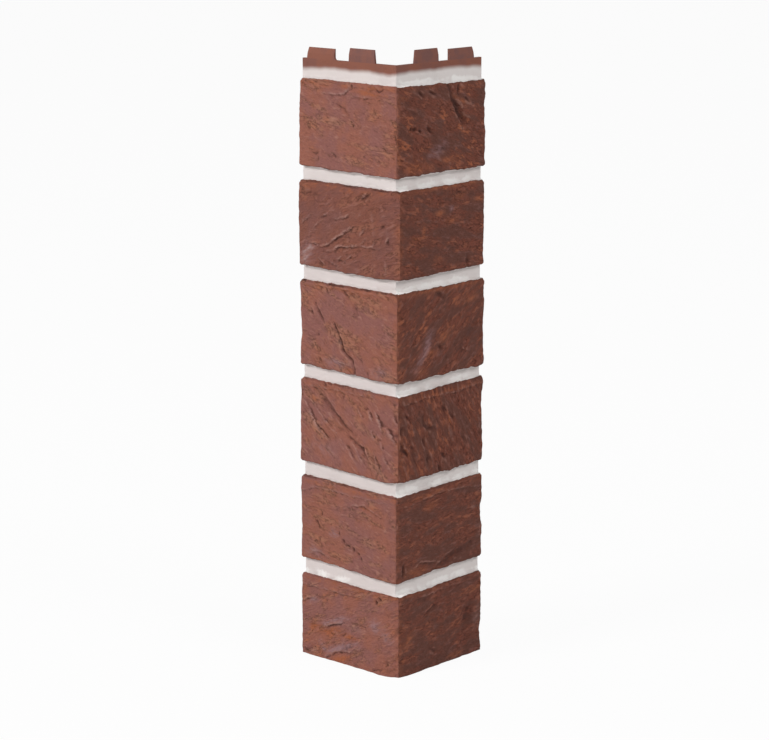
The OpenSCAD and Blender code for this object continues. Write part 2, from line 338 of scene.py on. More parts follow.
# Clay surface: what the plastic took over from the bricks in its mould, with stains in the brown.
# Each face has its own marks, listed as (kind, width, strength, points). A point is the
# distance from the outside corner and the height above the brick's foot. A lip is raised above its
# line and a drop below it. Finer lumps and grain come from random fields.
LEFT_MARKS = [
    # Bottom course: two pits, and slanting folds with ash crests above ochre hollows
    [("pit", 1.2, 1.3, (19, 52)), ("pit", 1.2, 1.3, (15, 54.5)),
     ("lip", 1.6, 0.35, (90, 51.5), (25, 51.5)), ("lip", 1.4, 0.5, (90, 39), (83, 42), (77, 43)),
     ("lip", 1.8, 0.8, (67, 24), (62, 27), (55, 29), (50, 31)),
     ("ash", 2.2, 1.5, (68, 26), (55, 31), (46, 34)), ("ochre", 3.4, 1.4, (70, 21), (56, 23)),
     ("lip", 1.8, 0.75, (67, 2), (58, 7), (50, 9), (42, 10)),
     ("ash", 2.4, 1.5, (66, 7), (52, 11), (36, 17)), ("ochre", 2.8, 1.3, (60, 2), (46, 5)),
     ("ochre", 2.2, 1.1, (52, 22), (36, 20)), ("groove", 1.0, 0.6, (52, 20), (48, 23)),
     ("groove", 1.6, 0.5, (50, 10), (40, 15)), ("ridge", 3.2, 0.5, (44, 28), (30, 28)),
     ("groove", 0.8, 0.4, (44, 31), (30, 32), (25, 28)), ("ash", 4.5, 0.9, (25, 33), (15, 34)),
     ("ash", 3.4, 1.1, (12, 29), (7, 27)), ("ash", 2.6, 0.9, (72, 12), (66, 4)),
     ("dark", 1.4, 0.7, (82, 24), (78, 24)), ("ochre", 3, 1.3, (82, 21), (75, 22)),
     ("ash", 1.8, 1.0, (84, 40), (76, 42)), ("groove", 1, 0.5, (25, 1), (10, 5)),
     ("groove", 1, 0.5, (10, 12), (8, 4)), ("groove", 1, 0.8, (88, 4), (84, 2)),
     ("ridge", 1.2, 0.6, (82, 2), (76, 5))],
    # Second course: a chain of short cracks that runs down towards the corner
    [("lip", 1.5, 0.35, (90, 50), (80, 53.5), (68, 54.5), (40, 54), (8, 53.5)),
     ("lip", 1.3, 0.45, (48, 43), (40, 47), (30, 49), (22, 46), (15, 43)),
     ("ochre", 1.6, 0.9, (34, 47.5), (22, 47.5)), ("groove", 1.0, 0.7, (77, 32), (74, 28), (72, 25)),
     ("groove", 0.9, 0.6, (71, 37), (71, 34)), ("groove", 1.1, 0.8, (54, 26), (53, 23)),
     ("groove", 1.1, 0.9, (50, 21), (48, 19)), ("groove", 1.1, 0.9, (46, 18), (44, 16.5)),
     ("groove", 1.1, 0.8, (41, 17), (39, 15)), ("groove", 1.1, 0.9, (37, 14), (34, 12)),
     ("groove", 1.0, 0.7, (33, 11), (32.5, 8)), ("ash", 3, 0.9, (56, 25), (61, 23)),
     ("ash", 3.5, 0.8, (85, 8), (72, 8)), ("lip", 1.2, 0.4, (85, 4), (75, 8), (70, 7), (62, 4), (56, 1)),
     ("ochre", 1.5, 0.8, (90, 1), (60, 1))],
    # Third course: long slanting folds, and short steep ones beside the corner
    [("groove", 2.1, 1.1, (76, 56), (68, 50), (60, 42), (52, 36), (45, 31), (38, 28)),
     ("lip", 1.2, 0.3, (90, 56), (60, 57), (10, 56)),
     ("groove", 1.0, 0.4, (66, 50), (57, 41), (50, 34), (42, 29)),
     ("groove", 1.3, 0.8, (58, 36), (52, 31), (46, 28), (38, 23), (31, 19), (29, 15), (24, 10)),
     ("pit", 1.4, 1.0, (31, 19)),
     ("drop", 2.2, 0.6, (90, 49), (83, 43), (78, 34), (74, 29), (67, 24), (60, 20)),
     ("drop", 1.8, 0.45, (52, 23), (44, 17), (36, 9), (30, 5)),
     ("drop", 1.6, 0.4, (82, 48), (70, 38), (62, 30), (56, 27)),
     ("drop", 1.6, 0.45, (40, 24), (34, 14), (28, 6)), ("drop", 1.5, 0.45, (20, 19), (17, 11), (12, 4)),
     ("drop", 1.5, 0.4, (12, 20), (8, 12), (3, 4)), ("drop", 1.4, 0.4, (28, 20), (24, 12)),
     ("drop", 1.4, 0.4, (35, 48), (31, 41)), ("groove", 1.0, 0.8, (68, 61), (65, 58)),
     ("groove", 1.0, 0.6, (49, 55), (48.5, 51)), ("drop", 1.5, 0.8, (25, 47), (23, 43), (21, 39)),
     ("drop", 1.5, 0.7, (18, 47), (15, 41), (13, 34)), ("drop", 1.6, 0.8, (9, 38), (5, 32), (2, 26)),
     ("drop", 1.5, 0.7, (5, 47), (1, 40)), ("drop", 1.4, 0.5, (22, 34), (20, 28)),
     ("drop", 1.4, 0.5, (14, 28), (12, 22)), ("ochre", 2.2, 0.7, (84, 50), (70, 46)),
     ("ash", 4, 0.6, (60, 12), (74, 16))],
    # Fourth course: one long crack that winds down to the foot
    [("lip", 1.2, 0.3, (90, 58), (50, 58.5), (10, 57)),
     ("drop", 2.0, 0.45, (59, 34), (53, 24), (49, 15), (40, 8)),
     ("groove", 1.2, 1.1, (58, 33), (56, 29), (52, 23), (50, 17), (46, 13), (41, 10), (39, 5), (38.5, 1)),
     ("lip", 1.1, 0.5, (57, 9), (52, 7), (45, 6), (41, 5)), ("ash", 3.5, 0.9, (64, 6), (50, 6)),
     ("ochre", 2, 0.9, (48, 2.5), (41, 2.5)),
     ("groove", 1.0, 0.9, (75, 46), (73, 42), (70, 37), (67, 33)),
     ("groove", 0.9, 0.6, (80, 41), (78, 38)), ("groove", 0.9, 0.6, (27, 4), (25, 1)),
     ("groove", 0.9, 0.5, (32, 12), (30, 9)), ("groove", 1.8, 0.6, (38, 48), (36, 42)),
     ("groove", 1, 0.5, (66, 58), (64, 54)), ("groove", 1, 0.5, (48, 57), (44, 54)),
     ("groove", 1, 0.5, (73, 16), (70, 12)), ("pit", 1, 0.5, (73, 24)),
     ("groove", 1, 0.5, (72, 8), (70, 5)), ("ash", 3.5, 0.8, (20, 5), (8, 5)),
     ("ochre", 1.6, 0.8, (88, 58.5), (20, 58.5))],
    # Fifth course: a fan of raised folds, and an ash patch at the leg's end
    [("lip", 1.3, 0.8, (79, 18), (68, 15.5), (60, 20), (54, 24), (50, 26), (39, 33)),
     ("lip", 1.1, 0.7, (64, 13), (57, 14), (55, 17), (42, 19), (34, 20), (14, 20)),
     ("lip", 1.1, 0.7, (55, 36), (48, 38), (41, 42)), ("lip", 1.0, 0.5, (32, 52), (25, 56)),
     ("lip", 1.0, 0.5, (50, 6), (44, 10), (40, 15)), ("lip", 1.0, 0.4, (88, 30), (80, 36)),
     ("lip", 1.0, 0.4, (76, 28), (68, 35)), ("pale", 2.2, 0.9, (89, 1), (84, 10), (79, 15)),
     ("ridge", 1.2, 0.4, (9, 32), (8, 25)), ("lip", 0.9, 0.45, (28, 32), (34, 25)),
     ("lip", 0.9, 0.45, (40, 18), (48, 14)), ("lip", 0.9, 0.45, (50, 11), (55, 6)),
     ("lip", 0.9, 0.4, (28, 25), (32, 21)), ("lip", 0.9, 0.4, (18, 26), (22, 20)),
     ("lip", 0.9, 0.4, (7, 30), (10, 23)), ("lip", 0.9, 0.4, (64, 40), (70, 36)),
     ("lip", 1.0, 0.4, (62, 6), (54, 4)), ("lip", 1.0, 0.4, (72, 8), (66, 3)),
     ("ridge", 1.6, 0.4, (22, 44), (20, 30)), ("groove", 1, 0.7, (35, 52), (28, 53), (24, 57)),
     ("groove", 1, 0.6, (70, 36), (66, 38)), ("groove", 1, 0.5, (47, 12), (43, 14)),
     ("groove", 1, 0.6, (56, 7), (48, 8)), ("ash", 5, 0.9, (87, 4), (79, 18)),
     ("groove", 1.1, 0.8, (8, 26), (8, 22)), ("groove", 1, 0.6, (14, 34), (11, 36)),
     ("ridge", 1.2, 0.5, (10, 12), (10, 3)), ("ochre", 1.6, 0.8, (88, 58.5), (45, 58.5)),
     ("dark", 1.4, 0.6, (85, 52), (70, 52))],
    # Top course: short cracks under the upper edge, with an ochre band across them
    [("groove", 0.9, 0.8, (41, 59), (41, 56)), ("groove", 0.9, 0.8, (20, 58), (17, 55.5), (13, 57)),
     ("lip", 1.4, 0.5, (67, 51), (50, 51.5), (45, 54), (40, 57)),
     ("lip", 1.2, 0.45, (40, 50), (20, 51.5)), ("ochre", 2, 0.9, (40, 55), (25, 54), (10, 53)),
     ("groove", 1.6, 0.6, (56, 46), (48, 42), (44, 38)), ("pit", 1, 0.6, (41, 34)),
     ("pit", 1, 0.6, (39, 32)), ("groove", 1, 0.6, (80, 12), (75, 9), (72, 11)),
     ("groove", 0.9, 0.5, (72, 8), (72, 4)), ("groove", 1.2, 0.5, (60, 11), (55, 8)),
     ("groove", 1.2, 0.5, (20, 30), (15, 27)), ("groove", 1, 0.7, (2, 28), (0, 20)),
     ("groove", 1.1, 0.5, (13, 20), (10, 17))],
]
RIGHT_MARKS = [
    # Bottom course: a pit at the corner, then a broad hollow and a ridge near the end
    [("lip", 1.4, 0.25, (8, 52), (40, 54), (88, 56)), ("pit", 2.0, 1.3, (2, 37)),
     ("ochre", 4, 0.8, (10, 22), (16, 28)), ("ochre", 2.2, 0.8, (75, 47), (90, 48)),
     ("ochre", 1.6, 0.7, (55, 3), (70, 3)), ("groove", 4.0, 1.0, (72, 22), (78, 36)),
     ("ridge", 3.5, 0.7, (82, 20), (86, 35)), ("groove", 1.4, 0.5, (30, 40), (44, 46)),
     ("groove", 1.2, 0.5, (34, 14), (46, 10))],
    # Second course: a step under the upper edge, and a broad hollow along the foot
    [("lip", 1.6, 0.3, (0, 51), (15, 51), (30, 53), (50, 55), (70, 54), (90, 51)),
     ("ochre", 1.8, 0.8, (10, 54), (60, 57)), ("ochre", 2.4, 0.8, (30, 47), (42, 48)),
     ("ochre", 3.4, 0.8, (12, 3), (30, 3)), ("groove", 1.1, 0.7, (8, 2), (8, 10)),
     ("lip", 1.3, 0.4, (18, 6), (25, 9), (35, 7), (45, 5)),
     ("groove", 2.8, 1.0, (40, 0), (50, 4), (60, 7), (68, 9), (78, 12)),
     ("ridge", 3, 0.7, (85, 18), (90, 25)), ("ridge", 2.5, 0.5, (80, 38))],
    # Third course: short steep dents all over
    [("groove", 1.6, 0.9, (0, 40), (5, 36), (5, 32)), ("groove", 1.6, 0.9, (5, 26), (8, 22), (12, 18)),
     ("groove", 1.3, 0.8, (10, 46), (14, 42)),
     ("groove", 1.4, 0.8, (28, 42), (29, 36), (33, 33), (40, 32)),
     ("groove", 1.3, 0.8, (49, 46), (51, 41)), ("groove", 1.3, 0.8, (56, 40), (61, 34)),
     ("groove", 1.2, 0.7, (32, 14), (33, 10)), ("groove", 1.2, 0.7, (16, 23), (18, 20)),
     ("groove", 1.3, 0.8, (28, 28), (29, 22)), ("groove", 1.2, 0.7, (48, 13), (50, 10)),
     ("groove", 1.2, 0.7, (44, 5), (47, 1)), ("lip", 1.6, 0.25, (5, 53), (30, 54.5), (60, 54), (88, 56)),
     ("ochre", 1.0, 0.6, (10, 55), (85, 57)), ("ochre", 3, 0.8, (50, 34), (58, 34)),
     ("ochre", 3, 0.8, (8, 5), (14, 5))],
    # Fourth course: ochre and dark patches beside a rising ash streak
    [("ochre", 3.5, 0.8, (45, 24), (52, 27)), ("ochre", 2.2, 0.8, (30, 15), (40, 16)),
     ("ochre", 3, 0.8, (20, 4), (28, 5)), ("ochre", 1.4, 0.8, (5, 59), (88, 59)),
     ("ochre", 3, 0.8, (70, 48), (82, 50)), ("ash", 3, 0.9, (20, 5), (30, 20), (36, 29)),
     ("dark", 2.6, 0.8, (36, 24), (39, 28)), ("groove", 1.2, 0.7, (43, 20), (46, 17)),
     ("dark", 3.4, 0.7, (72, 23), (80, 27)), ("dark", 2.4, 0.7, (65, 11), (67, 19)),
     ("groove", 1.5, 0.7, (40, 57), (48, 53)), ("ridge", 1.2, 0.5, (68, 14)),
     ("ridge", 1.2, 0.5, (72, 13))],
    # Fifth course: rows of ochre flecks
    [("ochre", 2, 0.8, (16, 26), (22, 26)), ("ochre", 1.6, 0.8, (27, 25), (27, 35)),
     ("ochre", 1.8, 0.8, (40, 41), (48, 41)), ("ochre", 2, 0.8, (50, 35), (61, 35)),
     ("ochre", 1.8, 0.8, (37, 10), (45, 10)), ("ochre", 1.4, 0.8, (10, 58.5), (90, 58.5)),
     ("ochre", 2, 0.8, (60, 51), (70, 52)), ("ochre", 1.8, 0.8, (80, 47), (90, 47)),
     ("ash", 2, 0.8, (56, 43)), ("groove", 1.6, 0.8, (73, 2), (73, 8)),
     ("dark", 1.6, 0.7, (55, 53), (70, 53))],
    # Top course: one deep steep groove between ridges, and ochre along the foot
    [("groove", 2.4, 1.4, (52, 57), (58, 47), (62, 40), (66, 34), (68, 31)),
     ("ridge", 1.6, 0.7, (57, 49), (62, 45), (66, 42)), ("ridge", 1.6, 0.7, (70, 46), (76, 42)),
     ("groove", 1.1, 0.8, (70, 48), (73, 45)), ("groove", 1.1, 0.7, (63, 58), (63, 50)),
     ("pit", 1.4, 0.8, (15, 31)), ("pit", 1.3, 0.8, (18, 30)), ("pit", 1.3, 0.8, (23, 29)),
     ("ochre", 1.5, 0.8, (3, 52), (10, 51)), ("groove", 1.1, 0.7, (22, 55), (26, 51)),
     ("groove", 1.1, 0.6, (32, 55), (40, 51)), ("groove", 1.1, 0.7, (31, 30), (36, 26)),
     ("ochre", 3.6, 0.8, (10, 4), (35, 4)), ("ochre", 2.4, 0.8, (45, 7), (60, 7)),
     ("ochre", 2.2, 0.8, (65, 27), (70, 27)), ("ochre", 1.6, 0.9, (57, 51), (62, 47), (74, 44)),
     ("ash", 3.2, 0.8, (34, 10), (48, 18)), ("dark", 1.6, 0.8, (42, 15), (50, 15)),
     ("dark", 2, 0.7, (44, 0), (44, 6))],
]
MARKS = [LEFT_MARKS, RIGHT_MARKS]
# Lie of each face's own grain, in degrees down to the right, and how strong it is
GRAIN = [[(-25, 0.34), (10, 0.26), (35, 0.46), (22, 0.36), (-22, 0.42), (12, 0.32)],
         [(-8, 0.56), (-6, 0.46), (62, 0.95), (-35, 0.66), (10, 0.42), (22, 0.78)]]
GRAIN_STRETCH = 2.6
STAIN_AND_PAINTED_LIGHT_KINDS = ("ochre", "ash", "pale", "dark")
# On either leg, for a mark of strength 1: how deep it is, how strong the painted highlight on its raised
# edge, and how strong the painted shade in its cut
MARK_DEPTH = [1.5, 2.2]
PAINTED_RAISED_HIGHLIGHT = [0.8, 0.4]
PAINTED_CUT_SHADE = [0.35, 0.75]
LINE_WIDTH = 0.8
# Tone of each face: 0 is the light brick brown, 1 the dark one. The right leg's faces are all dark, partly
# a darker brown of their own and partly painted shade of the leg that faces away from the key lamp; the
# left leg's half-dark course is its own tone.
TONE_AND_SIDE_SHADE = [[0.0, 0.0, 0.0, 0.0, 0.5, 0.0], [1.0, 1.0, 1.0, 1.0, 1.0, 1.0]]
# How far the left face's light tone reaches round the corner onto the right face in each course, a painted
# light where the rounded corner turns towards the key lamp, and how far that corner is worn
LIT_EDGE = [5.5, 1.5, 5.0, 2.0, 2.0, 3.0]
ARRIS_WEAR = [1.1, 0.35, 1.3, 0.35, 0.4, 0.5]
WEAR_WIDTH = 5.5
# Ochre flecks of each face
FLECKS = [[0.5, 0.25, 0.2, 0.25, 0.0, 0.3], [0.5, 0.4, 0.6, 0.6, 0.45, 0.9]]
# Random fields: what bends the marks' paths, the grain's folds, the lumps of the faces and of the
# mortar, the wear of the corner and the edge of the painted light round the corner
WOBBLE_ALONG = [(0.8, 6, 41), (0.4, 2.2, 42)]
WOBBLE_UP = [(0.8, 6, 43), (0.4, 2.2, 44)]
FOLDS = [(1.0, 5.5, 51), (0.6, 2.6, 52)]
FACE_LUMPS = [(0.34, 21, 61), (0.36, 8.5, 62), (0.28, 3.6, 63), (0.08, 1.7, 64)]
MORTAR_LUMPS = [(0.16, 6, 65), (0.08, 2, 66)]
WEAR = [(1.1, 7, 67), (0.3, 3.4, 68)]
PAINTED_LIGHT_EDGE = [(2.2, 5, 81), (1.0, 2, 82)]


def path_distance(a, z, path):
    """Distance from a mark's path, the side of it that a point is on, and the taper to its ends."""
    nearest = np.full(a.shape, 1e9)
    above = np.zeros(a.shape)
    taper = np.ones(a.shape)
    ends = list(zip(path, path[1:])) or [(path[0], path[0])]
    for k, (start, end) in enumerate(ends):
        run, rise = end[0] - start[0], end[1] - start[1]
        length = max(run * run + rise * rise, 1e-6)
        t = np.clip(((a - start[0]) * run + (z - start[1]) * rise) / length, 0, 1)
        off_a, off_z = a - start[0] - t * run, z - start[1] - t * rise
        distance = np.hypot(off_a, off_z)
        closer = distance < nearest
        nearest = np.where(closer, distance, nearest)
        above = np.where(closer, np.sign(off_z), above)
        share = (k + t) / len(ends)
        taper = np.where(closer, np.maximum(np.sin(math.pi * share), 0.25) ** 0.5, taper)
    return nearest, above, taper if len(path) > 1 else np.ones(a.shape)


def face_marks(side, course, a, z):
    """Relief, stains, painted highlights and painted shade that the listed marks leave on one face."""
    place = np.stack([a, z, np.full(a.shape, course * 31.0 + side * 17.0)], -1)
    wobble_a = a + lumps(place, WOBBLE_ALONG)
    wobble_z = z + lumps(place, WOBBLE_UP)
    beads = np.clip(0.9 + 0.7 * clay_noise(place, 3.2, 45), 0.2, 1.4)
    relief = np.zeros(a.shape)
    stains_and_painted_light = {name: np.zeros(a.shape) for name in STAIN_AND_PAINTED_LIGHT_KINDS}
    for kind, width, strength, *path in MARKS[side][course]:
        distance, above, taper = path_distance(wobble_a, wobble_z, path)
        bump = strength * taper * np.exp(-(distance / width) ** 2)
        line = strength * taper * np.exp(-(distance / LINE_WIDTH) ** 2)
        if kind in STAIN_AND_PAINTED_LIGHT_KINDS:
            stains_and_painted_light[kind] = np.maximum(stains_and_painted_light[kind], bump)
        elif kind in ("lip", "drop"):
            if kind == "drop":
                above = -above
            taper, line = taper * beads, line * beads
            step = np.tanh(above * distance / 0.35) * np.exp(-distance / (2 * width))
            relief += MARK_DEPTH[side] * strength * taper * step
            # Painted highlight along the raised edge and painted shade along the lower side
            stains_and_painted_light["pale"] = np.maximum(stains_and_painted_light["pale"], PAINTED_RAISED_HIGHLIGHT[side] * line * (above > 0))
            stains_and_painted_light["dark"] = np.maximum(stains_and_painted_light["dark"], 0.7 * line * (above < 0))
        elif kind == "ridge":
            relief += MARK_DEPTH[side] * bump
            # Painted highlight on the ridge
            stains_and_painted_light["pale"] = np.maximum(stains_and_painted_light["pale"], 0.4 * PAINTED_RAISED_HIGHLIGHT[side] * bump)
        else:
            relief -= MARK_DEPTH[side] * bump
            # Painted shade in grooves and pits
            stains_and_painted_light["dark"] = np.maximum(stains_and_painted_light["dark"], PAINTED_CUT_SHADE[side] * bump)
    return relief, stains_and_painted_light


def grain_place(side, course, a, z):
    """Places in a space that is drawn together along the lie of one face's grain."""
    angle = GRAIN[side][course][0]
    lie = math.radians(angle if side == LEFT else -angle)
    along = a * math.cos(lie) + z * math.sin(lie)
    across = z * math.cos(lie) - a * math.sin(lie)
    return np.stack([along / GRAIN_STRETCH, across, np.full(a.shape, course * 23.0 + side * 11.0)], -1)


def face_grain(side, course, place):
    """Drawn-out lumps that run along the lie of one face's grain."""
    return GRAIN[side][course][1] * lumps(place, FOLDS) + 0.15 * clay_noise(place, 2.2, 53)


# Relief, tone with the right leg's painted shade and light round the corner, flecks, stains and painted
# highlights and shade of every face, on the points of the sheet
left_span = slice(FACE_START, FACE_START + FACE_COLUMNS)
right_span = slice(COLUMNS - FACE_START - FACE_COLUMNS, COLUMNS - FACE_START)
proud = np.repeat(row_proud[:, None], COLUMNS, 1)
brickness = smoothstep(0.35, 0.8, proud)
relief = np.zeros((ROWS, COLUMNS))
shade = np.zeros((ROWS, COLUMNS))
flecks = np.zeros((ROWS, COLUMNS))
lie = np.zeros((ROWS, COLUMNS, 3))
stains_and_painted_light = {name: np.zeros((ROWS, COLUMNS)) for name in STAIN_AND_PAINTED_LIGHT_KINDS}
middle = COLUMNS // 2
for side, span, half in ((LEFT, left_span, slice(0, middle)), (RIGHT, right_span, slice(middle, COLUMNS))):
    for course in range(COURSES):
        band = slice(*np.nonzero(row_course == course)[0][[0, -1]] + [0, 1])
        block = sheet[band, half]
        a = (block[..., 1] if side == LEFT else block[..., 0]) + OUTER_CORNER
        z = block[..., 2] - course * PITCH
        lie[band, half] = grain_place(side, course, a, z)
        shade[band, half] = TONE_AND_SIDE_SHADE[side][course]
        # Painted light: near the outside corner the right leg's faces take the left face's light tone
        if side == RIGHT:
            light = 1 - smoothstep(0, LIT_EDGE[course], a + lumps(block, PAINTED_LIGHT_EDGE))
            shade[band, half] -= (TONE_AND_SIDE_SHADE[side][course] - TONE_AND_SIDE_SHADE[LEFT][course]) * light
        flecks[band, half] = FLECKS[side][course]
        relief[band, half] = face_grain(side, course, lie[band, half]) * smoothstep(0, 3, a)
        block = sheet[band, span]
        a = (block[..., 1] if side == LEFT else block[..., 0]) + OUTER_CORNER
        z = block[..., 2] - course * PITCH
        cut, spots = face_marks(side, course, a, z)
        relief[band, span] += cut
        for name in STAIN_AND_PAINTED_LIGHT_KINDS:
            stains_and_painted_light[name][band, span] = spots[name]
from_arris = np.abs(np.arange(COLUMNS) - middle)[None, :] * POINT_STEP
worn = np.clip(0.45 + lumps(sheet, WEAR), 0, 1.6)
relief -= np.array(ARRIS_WEAR)[row_course][:, None] * worn * np.exp(-(from_arris / WEAR_WIDTH) ** 2)
relief += lumps(sheet, FACE_LUMPS)
flange = smoothstep(COURSES * PITCH - 4, COURSES * PITCH - 2, sheet[..., 2])
relief = (relief * brickness + lumps(sheet, MORTAR_LUMPS) * (1 - brickness)) * (1 - flange)
front_only = np.minimum(np.arange(COLUMNS), np.arange(COLUMNS)[::-1])
relief *= smoothstep(RETURN_COLUMNS - 1, FACE_START, front_only)[None, :]


def blurred(field, passes):
    """The field averaged with its neighbours, a few times over."""
    for _ in range(passes):
        wide = np.pad(field, 1, mode="edge")
        beside = wide[:-2, 1:-1] + wide[2:, 1:-1] + wide[1:-1, :-2] + wide[1:-1, 2:]
        field = (field * 2 + beside) / 6
    return field


# Where the relief lies below or above its surroundings: the colours paint shade into its hollows and a
# highlight onto its raised parts
hollow = np.clip((blurred(relief, 9) - relief) / 0.45, -1, 1)

# The relief moves each point along the sheet's own normal, kept inside the solid's box outwards and
# inside the wall inwards. A point that doesn't face a side of the box has room enough.
DEEPEST = -2.0
FACING = -0.3
ENOUGH = 9.0
across = np.gradient(sheet, axis=1)
upward = np.gradient(sheet, axis=0)
outward = np.cross(across, upward)
outward /= np.linalg.norm(outward, axis=2, keepdims=True)
room = np.minimum(np.where(outward[..., 0] < FACING, sheet[..., 0] - FRONT_X, ENOUGH),
                  np.where(outward[..., 1] < FACING, sheet[..., 1] - FRONT_Y, ENOUGH))
room = np.maximum(room, 0.02)
relief = np.where(relief > 0, room * np.tanh(relief / room), np.maximum(relief, DEEPEST))
shift = outward * relief[..., None]
shift[0, :, 2] = 0
shift[-1] = 0
sheet = sheet + shift
sheet[0, :, 2] = 0
sheet[-1, :, 2] = FLANGE_TOP
sheet[..., 2] = np.clip(sheet[..., 2], 0, FLANGE_TOP)
sheet[..., 0] = np.clip(sheet[..., 0], FRONT_X, LEG)
sheet[..., 1] = np.clip(sheet[..., 1], FRONT_Y, LEG)


# Back of the moulding: pockets behind each course between thin ribs, end returns along both legs,
# and below the lowest course a lap that the next corner's flange slides into. Its few large faces
# are joined to the sheet of the front along both legs' ends, the foot and the flange's top.
RIB_COUNT = 3
RIB_WALL = 1.6
RIB_PITCH = (LEG - WALL) / (RIB_COUNT + 1)
FILLET = 1.0
HOLLOW_CHAMFER = 1.0
vertices = [tuple(p) for p in sheet.reshape(-1, 3)]
faces = []
sheet_index = np.arange(ROWS * COLUMNS).reshape(ROWS, COLUMNS).tolist()
for r in range(ROWS - 1):
    first = 1 if r < LAP_ROW else 0
    low, high = sheet_index[r], sheet_index[r + 1]
    for c in range(first, COLUMNS - 1 - first):
        faces.append((low[c], low[c + 1], high[c + 1], high[c]))
FRONT_FACES = len(faces)


def add_point(x, y, z):
    vertices.append((x, y, z))
    return len(vertices) - 1


def back_rows():
    """Heights of the back's rows, each with its course and how deep its pockets are there."""
    rows = [(0, 0, "lap"), (0, LAP_HEIGHT, "lap"), (0, LAP_HEIGHT, "deep")]
    for course in range(COURSES):
        foot = course * PITCH
        high = foot + BRICK - WALL
        if course:
            rows += [(course, foot + WALL, "flush"), (course, foot + WALL, "deep")]
        rows.append((course, high - HOLLOW_CHAMFER, "deep"))
        rows += [(course, high, "chamfer"), (course, high, "flush")]
    return rows


def back_places():
    """Places along a leg where the back's columns stand, from the end return to the corner."""
    places = [(LEG - WALL, "return"), (LEG - WALL, "pocket")]
    for k in range(RIB_COUNT, 0, -1):
        near, far = k * RIB_PITCH - RIB_WALL / 2, k * RIB_PITCH + RIB_WALL / 2
        places += [(far, "pocket"), (far, "rib"), (near, "rib"), (near, "pocket")]
    return places


def back_depth(side, course, kind, place, along):
    """How far a point of the back lies in front of the back plane."""
    if kind == "lap" and place == "return":
        return LAP_FRONT
    if kind == "flush" or place == "return" or (place == "rib" and kind != "lap"):
        return 0.0
    depth = float(relief_at(side, course, along))
    return depth - HOLLOW_CHAMFER if kind == "chamfer" else depth


def corner_points(course, z, kind):
    """The back's points round the inside corner: a fillet where it is flush, else the pocket."""
    count = ARRIS_COLUMNS + 2
    if kind == "flush":
        angles = np.linspace(0, math.pi / 2, count)
        return [(FILLET * (1 - math.sin(t)), FILLET * (1 - math.cos(t)), z) for t in angles[::-1]]
    x = [-back_depth(LEFT, course, kind, "pocket", along) for along in (FILLET, -WALL)]
    y = [-back_depth(RIGHT, course, kind, "pocket", along) for along in (FILLET, -WALL)]
    return [(x[0], FILLET, z)] + [(x[1], y[1], z)] * (count - 2) + [(FILLET, y[0], z)]


back = []
for course, z, kind in back_rows():
    left = [(-back_depth(LEFT, course, kind, place, at), at, z) for at, place in back_places()]
    right = [(at, -back_depth(RIGHT, course, kind, place, at), z) for at, place in reversed(back_places())]
    back.append([add_point(*p) for p in left + corner_points(course, z, kind) + right])
for lower, upper in zip(back, back[1:]):
    for c in range(len(lower) - 1):
        faces.append((lower[c + 1], lower[c], upper[c], upper[c + 1]))

# Foot, laps and end returns
faces.append(tuple(sheet_index[0][1:-1] + back[0][::-1]))
for end, inner in ((0, 1), (-1, -2)):
    column = [sheet_index[r][inner] for r in range(LAP_ROW + 1)]
    faces.append(tuple(column + [back[1][end], back[0][end]]))
    faces.append((sheet_index[LAP_ROW][end], sheet_index[LAP_ROW][inner], back[1][end], back[2][end]))

# Flange top: a strip as wide as the wall, closed along both leg ends
top = sheet_index[-1]
rim, behind = {}, {}
for c in range(FACE_START, COLUMNS - FACE_START):
    x, y, z = vertices[top[c]]
    turn = c - (FACE_START + FACE_COLUMNS - 1)
    if turn < 0:
        inside = (0, max(y, FILLET))
    elif turn > ARRIS_COLUMNS + 1:
        inside = (max(x, FILLET), 0)
    else:
        t = math.pi / 2 * turn / (ARRIS_COLUMNS + 1)
        inside = (FILLET * (1 - math.cos(t)), FILLET * (1 - math.sin(t)))
    rim[c] = add_point(*inside, z)
    share = TAB_BACK / WALL
    behind[c] = add_point(inside[0] + (x - inside[0]) * share, inside[1] + (y - inside[1]) * share, z)
left_rim_end, right_rim_end = FACE_START, COLUMNS - 1 - FACE_START
faces.append(tuple(top[:left_rim_end + 1] + [behind[left_rim_end], rim[left_rim_end]]))
faces.append(tuple([rim[right_rim_end], behind[right_rim_end]] + top[right_rim_end:]))


# Tabs: four tongues on the flange that slide into the lap of the corner above. They are thinner than
# the flange and flush with its front, and their upper halves are bevelled so that they lead in.
def tab_edges(side, outer, rise):
    """A tab's two edges at some height, as places along its leg: the one nearer its end first."""
    if not outer:
        share = rise / INNER_HEIGHT
        return INNER_TAB[side][1] - INNER_TAPER[1] * share, INNER_TAB[side][0] + INNER_TAPER[0] * share
    near = OUTER_TAB[side][0]
    if side == LEFT and rise < ROOT_FILLET:
        near -= ROOT_FILLET - math.sqrt(ROOT_FILLET ** 2 - (ROOT_FILLET - rise) ** 2)
    return OUTER_TAB[side][1] - OUTER_TAPER * rise / OUTER_HEIGHT, near


